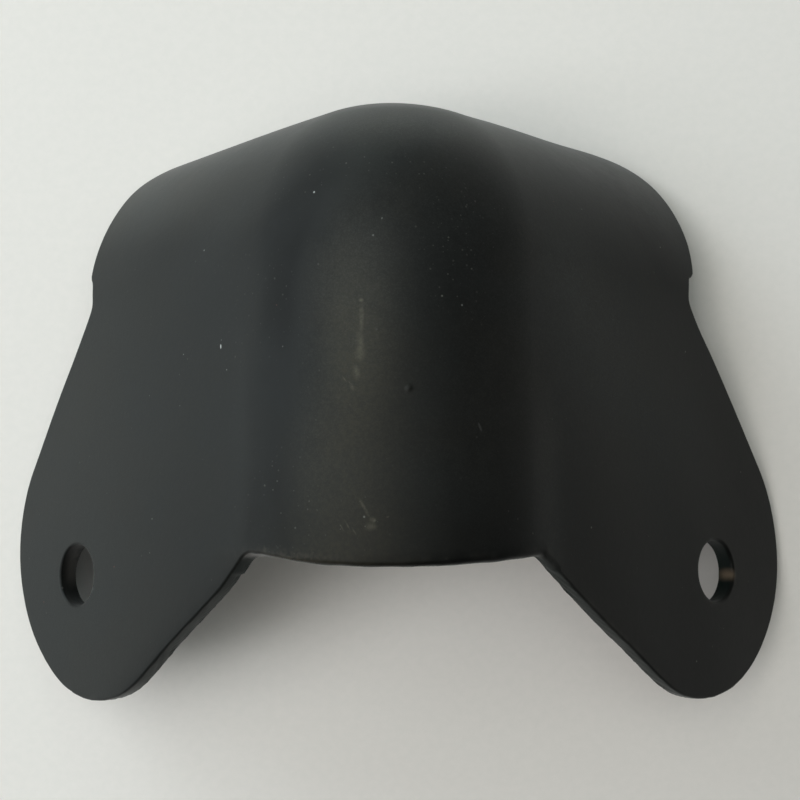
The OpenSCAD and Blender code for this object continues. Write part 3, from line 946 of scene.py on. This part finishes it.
# the sprayed coat: fine pebbling, dust grains standing a little proud
height = P.math("ADD", P.math("MULTIPLY", grain, 0.0050), P.math("MULTIPLY", fine, 0.0014))
height = P.math("ADD", height, P.math("MULTIPLY", P.noise(mm, 1.1, 2.0, 0.5), 0.0060))
height = P.math("ADD", height, P.math("MULTIPLY", g1, 0.010))
bump = P.node("ShaderNodeBump", {"Strength": 1.0, "Distance": 0.001, "Height": height})
P.put(P.bsdf.inputs["Normal"], bump)
corner.data.materials.append(P.mat)

# ----------------------------------------------------------------------------
# Floor and light
# ----------------------------------------------------------------------------
fm = bpy.data.meshes.new("floor")
fm.from_pydata([(-3, -3, -0.00002), (3, -3, -0.00002), (3, 3, -0.00002), (-3, 3, -0.00002)], [], [(0, 1, 2, 3)])
floor = bpy.data.objects.new("floor", fm)
bpy.context.scene.collection.objects.link(floor)
F = Tree("pale_paper")
fpos = F.vec("MULTIPLY", F.node("ShaderNodeTexCoord", out=3), (1000.0, 1000.0, 1000.0))
fibre = F.noise(fpos, 1.3, 4.0, 0.6)
F.put(F.bsdf.inputs["Base Color"], F.mix(F.ramp(fibre, 0.3, 0.7), (0.812, 0.777, 0.754, 1), (0.832, 0.793, 0.770, 1)))
F.put(F.bsdf.inputs["Roughness"], 0.9)
F.put(F.bsdf.inputs["Specular IOR Level"], 0.2)
F.put(F.bsdf.inputs["Normal"], F.node("ShaderNodeBump", {"Strength": 0.4, "Distance": 0.001, "Height": F.math("MULTIPLY", fibre, 0.03)}))
# painted light: far out, past the lamps, the paper glows more and more, so that it runs into the pale walls
painted_far_glow = F.node("ShaderNodeMapRange", [F.vec("LENGTH", fpos, out=1), 220.0, 850.0, 0.0, 0.46], interpolation_type="SMOOTHSTEP")
F.put(F.bsdf.inputs["Emission Color"], (1.0, 1.02, 1.0, 1))
F.put(F.bsdf.inputs["Emission Strength"], painted_far_glow)
fm.materials.append(F.mat)

scene = bpy.context.scene
scene.view_settings.view_transform = "Standard"
scene.view_settings.look = "None"
world_ = bpy.data.worlds.new("studio")
scene.world = world_
world_.use_nodes = True
wt = world_.node_tree
bg = wt.nodes["Background"]
# pale walls low down all round, dark above: the light from above comes from the lamps
up = wt.nodes.new("ShaderNodeSeparateXYZ")
wt.links.new(wt.nodes.new("ShaderNodeTexCoord").outputs["Generated"], up.inputs[0])
wall = wt.nodes.new("ShaderNodeMapRange")
wall.interpolation_type = "SMOOTHSTEP"
for k, v in enumerate((0.36, 0.62, 1.0, 0.03), 1):
    wall.inputs[k].default_value = v
wt.links.new(up.outputs[2], wall.inputs[0])
wt.links.new(wall.outputs[0], bg.inputs[1])
bg.inputs[0].default_value = (0.11, 0.113, 0.11, 1)
# seen straight on, the walls are as pale as the floor
seen = wt.nodes.new("ShaderNodeBackground")
seen.inputs[0].default_value = (0.50, 0.51, 0.50, 1)
either = wt.nodes.new("ShaderNodeMixShader")
wt.links.new(wt.nodes.new("ShaderNodeLightPath").outputs["Is Camera Ray"], either.inputs[0])
wt.links.new(bg.outputs[0], either.inputs[1])
wt.links.new(seen.outputs[0], either.inputs[2])
wt.links.new(either.outputs[0], wt.nodes["World Output"].inputs[0])

# soft lamps on a dome round the object: azimuth, elevation, size in metres, then watts in
# red, green and blue
LAMPS = [
    (174, 14, 0.141, 0.362, 0.405, 0.414), (162, 14, 0.141, 0.339, 0.391, 0.405),
    (126, 14, 0.141, 0.340, 0.387, 0.392), (150, 14, 0.141, 0.331, 0.384, 0.401),
    (138, 14, 0.141, 0.298, 0.346, 0.361), (193, 60, 0.155, 0.307, 0.310, 0.303),
    (114, 14, 0.141, 0.263, 0.307, 0.301), (141, 24, 0.142, 0.243, 0.276, 0.287),
    (129, 24, 0.142, 0.243, 0.277, 0.278), (167, 60, 0.155, 0.262, 0.265, 0.257),
    (174, 5, 0.144, 0.210, 0.254, 0.259), (198, 47, 0.148, 0.231, 0.235, 0.232),
    (102, 14, 0.141, 0.196, 0.251, 0.228), (195, 35, 0.149, 0.219, 0.227, 0.225),
    (154, 24, 0.142, 0.194, 0.226, 0.238), (180, 74, 0.191, 0.218, 0.221, 0.213),
    (180, 47, 0.148, 0.176, 0.180, 0.177), (135, 74, 0.191, 0.171, 0.173, 0.164),
    (141, 60, 0.155, 0.147, 0.149, 0.138), (90, 74, 0.191, 0.132, 0.140, 0.135),
    (30, 74, 0.256, 0.120, 0.132, 0.128), (116, 60, 0.155, 0.119, 0.122, 0.109),
    (330, 74, 0.256, 0.107, 0.112, 0.108), (45, 60, 0.274, 0.091, 0.106, 0.096),
    (225, 74, 0.191, 0.092, 0.092, 0.085), (219, 60, 0.155, 0.090, 0.089, 0.083),
    (244, 60, 0.155, 0.081, 0.081, 0.074), (270, 74, 0.191, 0.066, 0.068, 0.062),
]
DOME = 0.6
for k, (az, el, size, *watts) in enumerate(LAMPS):
    lamp = bpy.data.lights.new("lamp_%02d" % k, "AREA")
    lamp.shape = "DISK"
    lamp.size = size
    lamp.energy = max(watts)
    lamp.color = [w / max(watts) for w in watts]
    ob = bpy.data.objects.new(lamp.name, lamp)
    a, e = math.radians(az), math.radians(el)
    ob.location = (DOME * math.cos(e) * math.cos(a), DOME * math.cos(e) * math.sin(a), DOME * math.sin(e) + 0.01)
    ob.rotation_euler = (Vector((0, 0, 0.01)) - ob.location).to_track_quat("-Z", "Y").to_euler()
    ob.visible_camera = False
    scene.collection.objects.link(ob)
